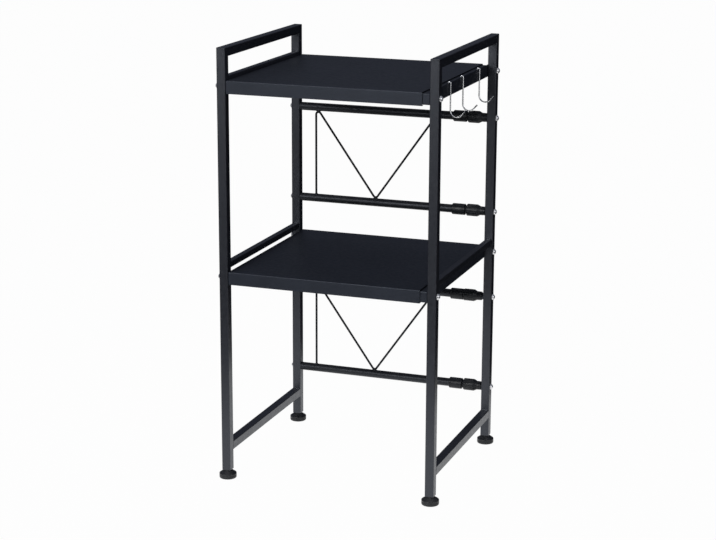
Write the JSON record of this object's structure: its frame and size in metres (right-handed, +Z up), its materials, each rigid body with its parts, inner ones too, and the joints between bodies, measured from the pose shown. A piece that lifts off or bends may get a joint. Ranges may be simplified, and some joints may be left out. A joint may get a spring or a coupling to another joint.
{
  "type": "microwave shelf",
  "caption": "Free-standing steel microwave rack with telescoping trays and back bars that draw out in width, wire braces, side hooks and screw feet.",
  "frame": {"origin": "on the floor, midway between the four posts with the rack pushed together", "axes": "+X to the right seen from the front, +Y to the rear, +Z up"},
  "size_m": [0.5252, 0.469, 0.975],
  "materials": {
    "frame_coat": "satin black powder coat",
    "shelf_coat": "satin black powder coat",
    "bar_coat": "satin black powder coat",
    "collar_plastic": "moulded black plastic",
    "foot_plastic": "moulded black plastic",
    "inner_plastic": "natural moulded plastic",
    "zinc_steel": "bright zinc plate",
    "chrome_wire": "polished chrome"
  },
  "bodies": {
    "left_side": {"left_front_post": "frame_coat", "left_rear_post": "frame_coat", "left_top_rail": "frame_coat", "left_guard_rail": "frame_coat", "left_bottom_rail": "frame_coat", "left_shelf_bolts": "zinc_steel", "left_bar_bolts": "zinc_steel", "left_shelf_nuts": "zinc_steel", "left_bar_plugs": "inner_plastic", "left_foot_inserts": "inner_plastic", "left_ledge_rail": "frame_coat", "upper_outer_tray": "shelf_coat", "lower_outer_tray": "shelf_coat", "upper_wire_brace": "bar_coat", "lower_wire_brace": "bar_coat", "first_bar_outer_tube": "bar_coat", "second_bar_outer_tube": "bar_coat", "third_bar_outer_tube": "bar_coat", "fourth_bar_outer_tube": "bar_coat", "first_bar_ferrule": "collar_plastic", "second_bar_ferrule": "collar_plastic", "third_bar_ferrule": "collar_plastic", "fourth_bar_ferrule": "collar_plastic"},
    "right_side": {"right_front_post": "frame_coat", "right_rear_post": "frame_coat", "right_top_rail": "frame_coat", "right_guard_rail": "frame_coat", "right_bottom_rail": "frame_coat", "right_shelf_bolts": "zinc_steel", "right_bar_bolts": "zinc_steel", "right_shelf_nuts": "zinc_steel", "right_bar_plugs": "inner_plastic", "right_foot_inserts": "inner_plastic", "upper_inner_tray": "shelf_coat", "lower_inner_tray": "shelf_coat", "inner_tube_bushes": "inner_plastic", "first_bar_inner_tube": "bar_coat", "second_bar_inner_tube": "bar_coat", "third_bar_inner_tube": "bar_coat", "fourth_bar_inner_tube": "bar_coat"},
    "first_bar_lock_nut": {"first_bar_lock_nut": "collar_plastic"},
    "second_bar_lock_nut": {"second_bar_lock_nut": "collar_plastic"},
    "third_bar_lock_nut": {"third_bar_lock_nut": "collar_plastic"},
    "fourth_bar_lock_nut": {"fourth_bar_lock_nut": "collar_plastic"},
    "left_front_foot_stud": {"left_front_foot_stud": "zinc_steel"},
    "left_front_foot_pad": {"left_front_foot_pad": "foot_plastic"},
    "left_rear_foot_stud": {"left_rear_foot_stud": "zinc_steel"},
    "left_rear_foot_pad": {"left_rear_foot_pad": "foot_plastic"},
    "right_front_foot_stud": {"right_front_foot_stud": "zinc_steel"},
    "right_front_foot_pad": {"right_front_foot_pad": "foot_plastic"},
    "right_rear_foot_stud": {"right_rear_foot_stud": "zinc_steel"},
    "right_rear_foot_pad": {"right_rear_foot_pad": "foot_plastic"},
    "front_hook": {"front_hook": "chrome_wire"},
    "middle_hook": {"middle_hook": "chrome_wire"},
    "rear_hook": {"rear_hook": "chrome_wire"}
  },
  "joints": [
    {"name": "width_slide", "type": "slide", "parent": "left_side", "child": "right_side", "axis": [1, 0, 0], "range_m": [0, 0.2]},
    {"name": "first_bar_lock", "type": "hinge", "parent": "left_side", "child": "first_bar_lock_nut", "pos_m": [0.205, 0.215, 0.783], "axis": [1, 0, 0], "range_deg": [0, 270]},
    {"name": "second_bar_lock", "type": "hinge", "parent": "left_side", "child": "second_bar_lock_nut", "pos_m": [0.205, 0.215, 0.564], "axis": [1, 0, 0], "range_deg": [0, 270]},
    {"name": "third_bar_lock", "type": "hinge", "parent": "left_side", "child": "third_bar_lock_nut", "pos_m": [0.2015, 0.215, 0.36], "axis": [1, 0, 0], "range_deg": [0, 270]},
    {"name": "fourth_bar_lock", "type": "hinge", "parent": "left_side", "child": "fourth_bar_lock_nut", "pos_m": [0.205, 0.215, 0.14], "axis": [1, 0, 0], "range_deg": [0, 270]},
    {"name": "left_front_foot_height", "type": "slide", "parent": "left_side", "child": "left_front_foot_stud", "axis": [0, 0, -1], "range_m": [0, 0.01]},
    {"name": "left_front_foot_turn", "type": "hinge", "parent": "left_front_foot_stud", "child": "left_front_foot_pad", "pos_m": [-0.24, -0.215, 0], "axis": [0, 0, -1], "range_deg": [0, 2870]},
    {"name": "left_rear_foot_height", "type": "slide", "parent": "left_side", "child": "left_rear_foot_stud", "axis": [0, 0, -1], "range_m": [0, 0.01]},
    {"name": "left_rear_foot_turn", "type": "hinge", "parent": "left_rear_foot_stud", "child": "left_rear_foot_pad", "pos_m": [-0.24, 0.215, 0], "axis": [0, 0, -1], "range_deg": [0, 2870]},
    {"name": "right_front_foot_height", "type": "slide", "parent": "right_side", "child": "right_front_foot_stud", "axis": [0, 0, -1], "range_m": [0, 0.01]},
    {"name": "right_front_foot_turn", "type": "hinge", "parent": "right_front_foot_stud", "child": "right_front_foot_pad", "pos_m": [0.24, -0.215, 0], "axis": [0, 0, -1], "range_deg": [0, 2870]},
    {"name": "right_rear_foot_height", "type": "slide", "parent": "right_side", "child": "right_rear_foot_stud", "axis": [0, 0, -1], "range_m": [0, 0.01]},
    {"name": "right_rear_foot_turn", "type": "hinge", "parent": "right_rear_foot_stud", "child": "right_rear_foot_pad", "pos_m": [0.24, 0.215, 0], "axis": [0, 0, -1], "range_deg": [0, 2870]},
    {"name": "front_hook_swing", "type": "hinge", "parent": "right_side", "child": "front_hook", "pos_m": [0.229, -0.085, 0.9078], "axis": [1, 0, 0], "range_deg": [-20, 20]},
    {"name": "middle_hook_swing", "type": "hinge", "parent": "right_side", "child": "middle_hook", "pos_m": [0.229, 0.007, 0.9078], "axis": [1, 0, 0], "range_deg": [-20, 20]},
    {"name": "rear_hook_swing", "type": "hinge", "parent": "right_side", "child": "rear_hook", "pos_m": [0.229, 0.133, 0.9078], "axis": [1, 0, 0], "range_deg": [-20, 20]}
  ],
  "couplings": [
    {"joint": "left_front_foot_height", "follows": "left_front_foot_turn", "m_per_rad": 0.00019894},
    {"joint": "left_rear_foot_height", "follows": "left_rear_foot_turn", "m_per_rad": 0.00019894},
    {"joint": "right_front_foot_height", "follows": "right_front_foot_turn", "m_per_rad": 0.00019894},
    {"joint": "right_rear_foot_height", "follows": "right_rear_foot_turn", "m_per_rad": 0.00019894}
  ]
}
